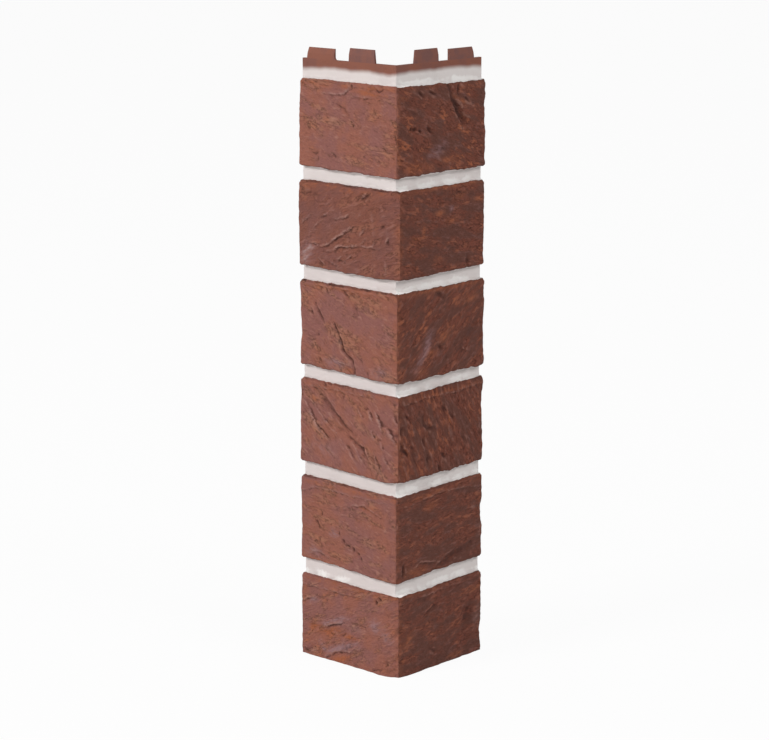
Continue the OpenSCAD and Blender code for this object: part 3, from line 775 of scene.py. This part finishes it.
def add_tab(side, outer, height, columns):
    """One tab on the flange: front, back, both sides and tip, on the flange's own columns."""
    rises = [0.2, 0.5, 0.9, 1.4, ROOT_FILLET, height / 2, height - 0.3, height]
    fronts = [[top[c] for c in columns]]
    backs = [[behind[c] for c in columns]]
    root = [vertices[top[c]][1 if side == LEFT else 0] for c in columns]
    for rise in rises:
        first, last = tab_edges(side, outer, rise)
        places = [first + (last - first) * (p - root[0]) / (root[-1] - root[0]) for p in root]
        depth = WALL - (TAB_WALL - TAB_TIP) * max(2 * rise / height - 1, 0)
        if rise == height:
            depth -= TIP_BREAK
        z = FLANGE_TOP + rise
        if side == LEFT:
            fronts.append([add_point(-depth, p, z) for p in places])
            backs.append([add_point(-TAB_BACK, p, z) for p in places])
        else:
            fronts.append([add_point(p, -depth, z) for p in places])
            backs.append([add_point(p, -TAB_BACK, z) for p in places])
    for grid in (fronts, backs):
        for lower, upper in zip(grid, grid[1:]):
            for k in range(len(columns) - 1):
                faces.append((lower[k], lower[k + 1], upper[k + 1], upper[k]))
    for k in range(len(rises)):
        faces.append((fronts[k][0], fronts[k + 1][0], backs[k + 1][0], backs[k][0]))
        faces.append((fronts[k][-1], backs[k][-1], backs[k + 1][-1], fronts[k + 1][-1]))
    for k in range(len(columns) - 1):
        faces.append((fronts[-1][k], fronts[-1][k + 1], backs[-1][k + 1], backs[-1][k]))


covered = set()
for side, step in ((LEFT, 1), (RIGHT, -1)):
    stops = [FACE_START + c for c in root_columns(side)[0]]
    if side == RIGHT:
        stops = [COLUMNS - 1 - c for c in stops]
    for outer, height, (start, stop) in ((True, OUTER_HEIGHT, stops[:2]), (False, INNER_HEIGHT, stops[2:])):
        add_tab(side, outer, height, list(range(start, stop + step, step)))
        covered |= set(range(min(start, stop), max(start, stop)))
for c in range(FACE_START, COLUMNS - 1 - FACE_START):
    faces.append((behind[c], behind[c + 1], rim[c + 1], rim[c]))
    if c not in covered:
        faces.append((top[c], top[c + 1], behind[c + 1], behind[c]))

# Back planes: the flush band above the highest pockets and the strip along each leg's end
half = len(back_places())
left_rim = [rim[c] for c in range(FACE_START, FACE_START + FACE_COLUMNS)]
right_rim = [rim[c] for c in range(COLUMNS - FACE_START - FACE_COLUMNS, COLUMNS - FACE_START)]
left_end = [sheet_index[r][0] for r in range(LAP_ROW, ROWS)]
right_end = [sheet_index[r][-1] for r in range(LAP_ROW, ROWS)]
left_inner = [row[0] for row in back[2:]]
right_inner = [row[-1] for row in back[2:]]
faces.append(tuple(left_end + left_rim + back[-1][:half + 1][::-1] + left_inner[-2::-1]))
faces.append(tuple(right_end + right_rim[::-1] + back[-1][-half - 1:] + right_inner[-2::-1]))
for k in range(ARRIS_COLUMNS + 1):
    low, c = half + k, FACE_START + FACE_COLUMNS - 1 + k
    faces.append((back[-1][low + 1], back[-1][low], rim[c], rim[c + 1]))


# Mortar joints: off-white paint, sprayed along the recessed joints through a mask, so the brick
# faces stay bare. On the right leg it climbs the ledges to the bricks' upper edges, and above the
# last joint it ends in a soft wavy line on the flange.
# The paint's end: places across the corner, minus on the left leg, and the height at each
PAINT_LINE = [(-84, 416.4), (-70, 417.3), (-56, 417.9), (-42, 417.1), (-32, 417.5),
              (-23, 417.7), (-14, 416.7), (-5, 416.3), (0, 417.1), (4, 417.6),
              (16, 418.1), (36, 418.1), (46, 418.5), (62, 418.3), (84, 417.2)]
PAINT_FADE = 2.1
# Where the brick's brown gives way to the flange's, hidden under the paint
CLAY_END = COURSES * PITCH - 4.5
# How far up the brick's edge the paint reaches, as a share of the relief
JOINT_REACH = 0.42
LEFT_LEDGE_REACH = 0.5
RIGHT_LEDGE_REACH = 0.86
CLIMB = [(0.16, 5, 71), (0.12, 1.8, 72)]
# Lumps of the painted highlight that whitens the ledges that face up
LEDGE_HIGHLIGHT_LUMPS = [(1.0, 13, 77), (0.4, 3, 78)]
# Where the painted highlight on the left leg's lowest ledge starts, from the building's corner
LEFT_HIGHLIGHT_FROM = 40
ledge = np.isin(row_stretch, ["head", "cove"])[:, None]
on_right = np.arange(COLUMNS)[None, :] > middle
climb = lumps(sheet, CLIMB)
on_left_ledge = np.where(ledge, LEFT_LEDGE_REACH, JOINT_REACH) + climb
reach = np.where(ledge & on_right, RIGHT_LEDGE_REACH + 0.4 * climb, on_left_ledge)
# Painted highlight: patches of whiter paint colour on the ledges that face up, on the right leg and on the
# left leg's lowest course
on_highlit_ledge = on_right | ((row_course[:, None] == 0) & (sheet[..., 1] > LEFT_HIGHLIGHT_FROM))
ledge_highlight = ledge * on_highlit_ledge * smoothstep(-0.35, 0.25, lumps(sheet, LEDGE_HIGHLIGHT_LUMPS))
mortar = smoothstep(-0.07, 0.07, reach - proud)
mortar *= smoothstep(RETURN_COLUMNS - 2, FACE_START - 1, front_only)[None, :]
paint_line = np.interp(sheet[..., 0] - sheet[..., 1], *zip(*PAINT_LINE))
paint_line = paint_line + 0.5 * clay_noise(sheet * [1, 1, 0], 6, 74)
above_paint = sheet[..., 2] - paint_line
above_joint = sheet[..., 2] - CLAY_END

# Thin dark lines along the bricks' lower edges, painted shade under them, and along the left leg's upper
# ones, an ochre band below the upper edges, partly a painted highlight where they round over, and an ochre
# bloom along the outside corner
HEAD_LINES = [0.15, 0.5, 0.3, 0.65, 0.6, 0.1]
EDGE_BREAKS = [(0.8, 7, 75), (0.5, 2.4, 76)]
BAND_RISE = (54.5, 57)
BAND_FALL = (58, 59.5)
BLOOM = 0.4
BLOOM_START = 2.0
BLOOM_WIDTH = 2.6
rise = sheet[..., 2] - row_course[:, None] * PITCH
edge_break = 0.5 + lumps(sheet, EDGE_BREAKS)
head_rows = np.array([stretch == "head" for stretch in row_stretch])
head_line = (head_rows * np.array(HEAD_LINES)[row_course])[:, None] * ~on_right
foot_shade_line = np.array([stretch == "under" for stretch in row_stretch])[:, None] & (proud > 0.6)
edge_lines = np.clip((head_line + 0.7 * foot_shade_line) * (0.5 + edge_break), 0, 0.9)
stains_and_painted_light["dark"] = np.maximum(stains_and_painted_light["dark"], edge_lines)
band = smoothstep(*BAND_RISE, rise) * (1 - smoothstep(*BAND_FALL, rise)) * np.where(on_right, 0.3, 0.75)
bloom = BLOOM * np.exp(-(np.maximum(from_arris - BLOOM_START, 0) / BLOOM_WIDTH) ** 2)
stains_and_painted_light["ochre"] = np.maximum(stains_and_painted_light["ochre"], np.maximum(band, bloom) * np.clip(edge_break, 0, 1))

# The moulding's mesh, with what its colours follow as named values on its points. The back's points
# count as far above the last joint, so no paint reaches them.
FAR_ABOVE = 9.0
mesh = bpy.data.meshes.new("corner_panel_moulding")
mesh.from_pydata([(x * MM, y * MM, z * MM) for x, y, z in vertices], [], faces)
MASKS = {"mortar": mortar, "above_paint": above_paint, "above_joint": above_joint,
         "hollow": hollow, "shade": shade, "flecks": flecks, "ledge_highlight": ledge_highlight}
MASKS.update(stains_and_painted_light)
for name, values in MASKS.items():
    filled = np.full(len(vertices), FAR_ABOVE if name.startswith("above") else 0.0)
    filled[:ROWS * COLUMNS] = values.ravel()
    mesh.attributes.new(name, "FLOAT", "POINT").data.foreach_set("value", filled)
filled = np.array(vertices) * MM
filled[:ROWS * COLUMNS] = lie.reshape(-1, 3) * MM
mesh.attributes.new("grain_place", "FLOAT_VECTOR", "POINT").data.foreach_set("vector", filled.ravel())
front = np.zeros(len(faces), dtype=np.int32)
front[FRONT_FACES:] = 1
mesh.polygons.foreach_set("material_index", front)

# One closed mesh: shared borders are welded, and the front gives up the points it doesn't need, but
# for the flange and the flat leg ends
MOST_TRIANGLES = 190000
WELD = 0.0001 * MM
KEPT_END = 2.0
CREASE = 50
welded = bmesh.new()
welded.from_mesh(mesh)
bmesh.ops.remove_doubles(welded, verts=welded.verts, dist=WELD)
bmesh.ops.recalc_face_normals(welded, faces=welded.faces)
bmesh.ops.triangulate(welded, faces=welded.faces)
triangles = len(welded.faces)
welded.to_mesh(mesh)
welded.free()
panel = bpy.data.objects.new("corner_panel_moulding", mesh)
bpy.context.scene.collection.objects.link(panel)
levels = np.zeros(len(mesh.vertices), dtype=np.float32)
mesh.attributes["above_joint"].data.foreach_get("value", levels)
clay = panel.vertex_groups.new(name="clay")
spots = np.zeros(len(mesh.vertices) * 3)
mesh.vertices.foreach_get("co", spots)
inner = spots.reshape(-1, 3)[:, :2].max(1) < (LEG - KEPT_END) * MM
clay.add(np.nonzero((levels < -1) & inner)[0].tolist(), 1.0, "REPLACE")
thinning = panel.modifiers.new("thinning", "DECIMATE")
thinning.vertex_group = "clay"
thinning.ratio = MOST_TRIANGLES / triangles
bpy.context.view_layer.update()
thinned = bpy.data.meshes.new_from_object(panel.evaluated_get(bpy.context.evaluated_depsgraph_get()))
panel.modifiers.clear()
panel.vertex_groups.clear()
panel.data = thinned
thinned.shade_smooth()
thinned.set_sharp_from_angle(angle=math.radians(CREASE))
for polygon in thinned.polygons:
    polygon.use_smooth = polygon.material_index == 0
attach(panel, "root")
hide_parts("corner_panel")


# Finish of the moulding: one matte brown plastic throughout. The clay's stains, with painted shade and
# highlights on its relief, lie in the front's colour, a fine grain in the whole surface, and the joints'
# paint on top of both.
def tone(red, green, blue):
    """A colour as it looks on screen, from 0 to 255, made linear for the shaders."""
    linear = [((v / 255 + 0.055) / 1.055) ** 2.4 if v > 10 else v / 255 / 12.92 for v in (red, green, blue)]
    return (*linear, 1.0)


def add_node(tree, kind, sockets=None, **settings):
    """A node with its settings and socket values; a socket as a value is linked instead."""
    made = tree.nodes.new(kind)
    for key, value in settings.items():
        setattr(made, key, value)
    for socket, value in (sockets or {}).items():
        if isinstance(value, bpy.types.NodeSocket):
            tree.links.new(value, made.inputs[socket])
        else:
            made.inputs[socket].default_value = value
    return made


def noise(tree, place, size, detail=3.0, roughness=0.55):
    """Noise from 0 to 1 with lumps of a size in millimetres."""
    sockets = {"Vector": place, "Scale": 1 / (size * MM), "Detail": detail, "Roughness": roughness}
    return add_node(tree, "ShaderNodeTexNoise", sockets).outputs["Fac"]


def calc(tree, operation, first, second=0.0):
    return add_node(tree, "ShaderNodeMath", {0: first, 1: second}, operation=operation).outputs[0]


def span(tree, value, low, high, start=0.0, end=1.0):
    """Where a value lies between low and high, eased at both ends."""
    sockets = {"Value": value, "From Min": low, "From Max": high, "To Min": start, "To Max": end}
    return add_node(tree, "ShaderNodeMapRange", sockets, interpolation_type="SMOOTHSTEP").outputs["Result"]


def blend(tree, share, first, second):
    """Two colours mixed by a share from 0 to 1."""
    return add_node(tree, "ShaderNodeMix", {0: share, 6: first, 7: second}, data_type="RGBA").outputs[2]


def mask(tree, name):
    return add_node(tree, "ShaderNodeAttribute", attribute_name=name).outputs["Fac"]


# The plastic's own look, on bricks, flange and back alike: a fine grain, folds and thin cracks that
# it took over from the clay, and a mottle in its colour
grain_group = bpy.data.node_groups.new("moulded_grain", "ShaderNodeTree")
grain_group.interface.new_socket("Place", in_out="INPUT", socket_type="NodeSocketVector")
for name, value in (("Grain Size", 1.1), ("Fold Size", 3.5), ("Mottle Size", 6.0)):
    made = grain_group.interface.new_socket(name, in_out="INPUT", socket_type="NodeSocketFloat")
    made.default_value = value
for name in ("Grain", "Folds", "Cracks", "Mottle"):
    grain_group.interface.new_socket(name, in_out="OUTPUT", socket_type="NodeSocketFloat")
inward = add_node(grain_group, "NodeGroupInput")
outlet = add_node(grain_group, "NodeGroupOutput")
LAYERS = (("Grain", "Grain Size", 3.0), ("Folds", "Fold Size", 6.0), ("Mottle", "Mottle Size", 5.0))
for name, size, detail in LAYERS:
    scale = calc(grain_group, "DIVIDE", 1 / MM, inward.outputs[size])
    sockets = {"Vector": inward.outputs["Place"], "Scale": scale, "Detail": detail, "Roughness": 0.62}
    made = add_node(grain_group, "ShaderNodeTexNoise", sockets).outputs["Fac"]
    grain_group.links.new(made, outlet.inputs[name])
    if name == "Folds":
        level = calc(grain_group, "ABSOLUTE", calc(grain_group, "SUBTRACT", made, 0.5))
        grain_group.links.new(span(grain_group, level, 0.0, 0.022, 1.0, 0.0), outlet.inputs["Cracks"])


def add_grain(tree, place, grain_size, fold_size, mottle_size):
    """The shared grain at some places of a material; its outputs by name."""
    made = add_node(tree, "ShaderNodeGroup", node_tree=grain_group)
    tree.links.new(place, made.inputs["Place"])
    made.inputs["Grain Size"].default_value = grain_size
    made.inputs["Fold Size"].default_value = fold_size
    made.inputs["Mottle Size"].default_value = mottle_size
    return made.outputs


def new_material(name):
    """A bare material: its node tree, its shader, and where its colours and grain are placed."""
    made = bpy.data.materials.new(name)
    made.use_nodes = True
    shader = made.node_tree.nodes["Principled BSDF"]
    place = add_node(made.node_tree, "ShaderNodeTexCoord").outputs["Object"]
    return made, made.node_tree, shader, place


# Bare plastic of flange, tabs, end returns and back: brick brown right through, slightly mottled
PLASTIC = tone(140, 88, 72)
PLASTIC_GREY = tone(121, 82, 76)
plastic, tree, shader, place = new_material("bare_brown_plastic")
grain = add_grain(tree, place, 0.5, 3.0, 9.0)
along_leg = add_node(tree, "ShaderNodeSeparateXYZ", {0: place}).outputs["Y"]
greyer = span(tree, along_leg, 45 * MM, 60 * MM, 0.8, 0.0)
mottled = calc(tree, "ADD", greyer, span(tree, grain["Mottle"], 0.4, 0.62, -0.3, 0.3))
tree.links.new(blend(tree, mottled, PLASTIC, PLASTIC_GREY), shader.inputs["Base Color"])
shader.inputs["Roughness"].default_value = 0.62
shader.inputs["Specular IOR Level"].default_value = 0.2
sockets = {"Strength": 0.3, "Distance": 0.1 * MM, "Height": grain["Grain"]}
tree.links.new(add_node(tree, "ShaderNodeBump", sockets).outputs["Normal"], shader.inputs["Normal"])

# Front: the brick brown with ochre, ash and dark stains, painted shade in its cuts, cracks and hollows,
# painted highlights on its raised edges, and the sprayed joints
LIGHT_BRICK = tone(157, 98, 82)
PURPLE_BRICK = tone(148, 96, 88)
PALE_BRICK = tone(182, 132, 117)
DARK_BRICK = tone(127, 72, 57)
DEEP_DARK_BRICK = tone(104, 63, 52)
OCHRE = tone(168, 98, 68)
ASH = tone(158, 119, 119)
PALE_STAIN_AND_HIGHLIGHT = tone(190, 156, 150)
DARK_STAIN_AND_SHADE = tone(80, 48, 41)
DUSK = tone(134, 90, 82)
TAN = tone(180, 126, 98)
UMBER = tone(118, 76, 72)
MORTAR = tone(229, 219, 216)
# Mortar where the face tone is dark, as on the right leg, painted lighter than the left leg's: painted
# light
PAINTED_LIGHT_MORTAR = tone(234, 226, 223)
# Whiter paint for the ledges that face up: a painted highlight
PAINTED_LEDGE_HIGHLIGHT = tone(252, 248, 245)
facing, tree, shader, place = new_material("brick_face_plastic")
lie = add_node(tree, "ShaderNodeAttribute", attribute_name="grain_place").outputs["Vector"]
grain = add_grain(tree, lie, 1.0, 2.6, 2.6)
shade = mask(tree, "shade")
cloud = noise(tree, place, 22, 3.0)
patch = noise(tree, lie, 8, 5.0, 0.62)
light_face = blend(tree, span(tree, cloud, 0.4, 0.6), LIGHT_BRICK, PURPLE_BRICK)
light_face = blend(tree, span(tree, grain["Mottle"], 0.55, 0.75, 0, 0.6), light_face, PALE_BRICK)
light_face = blend(tree, span(tree, patch, 0.5, 0.66, 0, 0.45), light_face, TAN)
light_face = blend(tree, span(tree, grain["Grain"], 0.54, 0.68, 0, 0.3), light_face, TAN)
light_face = blend(tree, span(tree, grain["Grain"], 0.44, 0.32, 0, 0.4), light_face, UMBER)
# Dark face: the right leg's brown, partly a darker tone of its own and partly painted shade, and the left
# leg's half-dark course
dark_and_shaded_face = blend(tree, span(tree, patch, 0.42, 0.58), DEEP_DARK_BRICK, DARK_BRICK)
dark_and_shaded_face = blend(tree, span(tree, grain["Mottle"], 0.5, 0.72, 0, 0.7), dark_and_shaded_face, DUSK)
dark_and_shaded_face = blend(tree, span(tree, grain["Grain"], 0.44, 0.32, 0, 0.5), dark_and_shaded_face, DARK_STAIN_AND_SHADE)
colour = blend(tree, shade, light_face, dark_and_shaded_face)
cluster = span(tree, cloud, 0.62, 0.42)
streaks = calc(tree, "MULTIPLY", span(tree, grain["Folds"], 0.46, 0.66), cluster)
clumps = calc(tree, "MULTIPLY", span(tree, patch, 0.44, 0.58), 1.4)
streaks = calc(tree, "MULTIPLY", calc(tree, "MULTIPLY", streaks, clumps), mask(tree, "flecks"))
colour = blend(tree, streaks, colour, OCHRE)
ragged = span(tree, grain["Folds"], 0.38, 0.6, 0.25, 1.15)
# Stains, with the marks' painted highlights in the pale mask and painted shade in the dark one
for name, stain in (("ochre", OCHRE), ("ash", ASH), ("pale", PALE_STAIN_AND_HIGHLIGHT), ("dark", DARK_STAIN_AND_SHADE)):
    colour = blend(tree, calc(tree, "MULTIPLY", mask(tree, name), ragged), colour, stain)
# Painted shade in the relief's hollows and painted highlight on its raised parts
deep = mask(tree, "hollow")
colour = blend(tree, span(tree, deep, 0.15, 1.1, 0, 0.7), colour, DARK_STAIN_AND_SHADE)
colour = blend(tree, span(tree, deep, -0.2, -1.0, 0, 0.4), colour, PALE_BRICK)
# Painted shade in the grain's thin cracks
cracks = calc(tree, "MULTIPLY", grain["Cracks"], span(tree, patch, 0.45, 0.62))
colour = blend(tree, calc(tree, "MULTIPLY", cracks, 0.4), colour, DARK_STAIN_AND_SHADE)
plain = blend(tree, span(tree, cloud, 0.45, 0.6, 0, 0.5), PLASTIC, PLASTIC_GREY)
bare = span(tree, mask(tree, "above_joint"), -0.5, 0.5)
colour = blend(tree, bare, colour, plain)
spray = calc(tree, "ADD", mask(tree, "mortar"), span(tree, grain["Grain"], 0.3, 0.7, -0.15, 0.15))
sprayed = span(tree, mask(tree, "above_paint"), -PAINT_FADE, PAINT_FADE, 1.0, 0.0)
painted = calc(tree, "MULTIPLY", span(tree, spray, 0.35, 0.65), sprayed)
# Paint colour: lighter where the tone is dark and whiter on the ledges that face up, both painted light
paint = blend(tree, mask(tree, "ledge_highlight"), blend(tree, shade, MORTAR, PAINTED_LIGHT_MORTAR), PAINTED_LEDGE_HIGHLIGHT)
tree.links.new(blend(tree, painted, colour, paint), shader.inputs["Base Color"])
tree.links.new(span(tree, painted, 0, 1, 0.7, 0.88), shader.inputs["Roughness"])
shader.inputs["Specular IOR Level"].default_value = 0.2
height = calc(tree, "ADD", calc(tree, "MULTIPLY", grain["Grain"], 0.5), grain["Folds"])
height = calc(tree, "SUBTRACT", height, calc(tree, "MULTIPLY", cracks, 0.25))
rough = calc(tree, "MAXIMUM", painted, bare)
height = calc(tree, "MULTIPLY", height, span(tree, rough, 0, 1, 1.0, 0.16))
sockets = {"Strength": 1.0, "Distance": 1.8 * MM, "Height": height}
tree.links.new(add_node(tree, "ShaderNodeBump", sockets).outputs["Normal"], shader.inputs["Normal"])
thinned.materials.append(facing)
thinned.materials.append(plastic)


# Studio: white floor and backdrop, a soft key light on the left leg's face and weak light all round
def looked_at(tree):
    """1 where the camera, a reflection or clear glass looks straight at the background, else 0."""
    seen = add_node(tree, "ShaderNodeLightPath")
    bright = calc(tree, "MAXIMUM", seen.outputs["Is Camera Ray"], seen.outputs["Is Glossy Ray"])
    return calc(tree, "MAXIMUM", bright, seen.outputs["Is Transmission Ray"])


FLOOR_SIZE = 40.0
floor_mesh = bpy.data.meshes.new("studio_floor")
reach = FLOOR_SIZE / 2
floor_corners = [(-reach, -reach, 0), (reach, -reach, 0), (reach, reach, 0), (-reach, reach, 0)]
floor_mesh.from_pydata(floor_corners, [], [(0, 1, 2, 3)])
floor = bpy.data.objects.new("studio_floor", floor_mesh)
bpy.context.scene.collection.objects.link(floor)
paper = bpy.data.materials.new("white_paper")
paper.use_nodes = True
tree = paper.node_tree
tree.nodes.clear()
PAPER = (0.9, 0.9, 0.9, 1.0)
PAPER_GLOW = 0.95
matte = add_node(tree, "ShaderNodeBsdfDiffuse", {"Color": PAPER}).outputs[0]
glow = add_node(tree, "ShaderNodeEmission", {"Color": (1, 1, 1, 1), "Strength": 1.0}).outputs[0]
shown = calc(tree, "MULTIPLY", looked_at(tree), PAPER_GLOW)
surface = add_node(tree, "ShaderNodeMixShader", {0: shown, 1: matte, 2: glow}).outputs[0]
tree.links.new(surface, add_node(tree, "ShaderNodeOutputMaterial").inputs["Surface"])
floor_mesh.materials.append(paper)

world = bpy.data.worlds.new("studio")
bpy.context.scene.world = world
world.use_nodes = True
tree = world.node_tree
tree.nodes.clear()
AMBIENT = 0.27
sockets = {"Value": looked_at(tree), "To Min": AMBIENT, "To Max": 1.0}
strength = add_node(tree, "ShaderNodeMapRange", sockets).outputs["Result"]
sky = add_node(tree, "ShaderNodeBackground", {"Color": (1, 1, 1, 1), "Strength": strength}).outputs[0]
tree.links.new(sky, add_node(tree, "ShaderNodeOutputWorld").inputs["Surface"])


def add_lamp(name, toward, distance, size, power):
    """A square soft lamp that hangs in some direction from the panel's middle and faces it."""
    lamp = bpy.data.lights.new(name, "AREA")
    lamp.size = size
    lamp.energy = power
    made = bpy.data.objects.new(name, lamp)
    aim = Vector(toward).normalized()
    made.location = (panel_low + panel_high) / 2 + aim * distance
    made.rotation_euler = aim.to_track_quat("Z", "Y").to_euler()
    bpy.context.scene.collection.objects.link(made)


add_lamp("key", (-0.80, 0.20, 0.48), 3.5, 1.0, 66)
add_lamp("fill", (0.05, -0.75, 0.65), 3.5, 1.2, 36)


# Camera: stands about 1.8 m off, a little above the panel's top, and looks at its outside corner
CAMERA_PLACE = (-1.2590, -1.1498, 0.5843)
CAMERA_TURN = -47.341
CAMERA_DIP = 12.144
LENS = 120.45
camera_data = bpy.data.cameras.new("camera")
camera_data.lens = LENS
camera_data.sensor_width = 36.0
camera = bpy.data.objects.new("camera", camera_data)
camera.location = CAMERA_PLACE
camera.rotation_euler = (math.radians(90 - CAMERA_DIP), 0, math.radians(CAMERA_TURN))
bpy.context.scene.collection.objects.link(camera)
bpy.context.scene.camera = camera
bpy.context.scene.view_settings.view_transform = "Standard"

bpy.context.view_layer.update()
